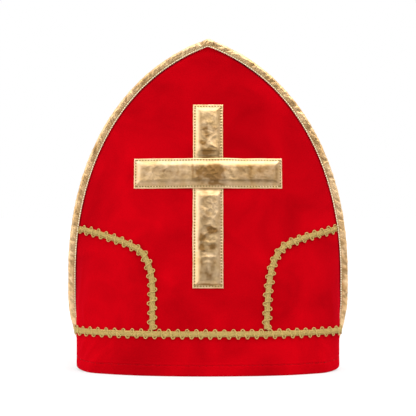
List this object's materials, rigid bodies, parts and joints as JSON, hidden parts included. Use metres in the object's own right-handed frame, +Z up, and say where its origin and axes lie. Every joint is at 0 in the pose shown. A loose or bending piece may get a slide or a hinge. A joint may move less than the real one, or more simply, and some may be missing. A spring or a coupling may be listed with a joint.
{
  "type": "bishop mitre",
  "caption": "Tall pointed costume mitre of red cloth standing open on its hem, edged in gold, with a padded cross, scalloped braid and a strapped notch at the back.",
  "frame": {"origin": "on the surface that the hem stands on, under the middle of the overall box", "axes": "+Z up from the hem to the point, -Y out of the front that carries the cross, +X to the wearer's left"},
  "size_m": [0.28, 0.086, 0.3285],
  "materials": {
    "red_cloth": "short brushed nap",
    "red_tape": "matte folded cloth tape",
    "white_lining": "matte knit",
    "white_elastic": "ribbed satin",
    "gold_tape": "metallic foil on knit",
    "gold_cross_cloth": "metallic foil on knit, padded",
    "gold_braid": "metallic thread"
  },
  "bodies": {
    "root": {"front_panel": "red_cloth", "back_panel": "red_cloth", "front_lining": "white_lining", "edge_binding": "gold_tape", "notch_binding": "red_tape", "elastic_strap": "white_elastic", "cross_upright": "gold_cross_cloth", "cross_bar": "gold_cross_cloth", "hem_braid": "gold_braid", "left_side_braid": "gold_braid", "right_side_braid": "gold_braid"}
  },
  "joints": []
}
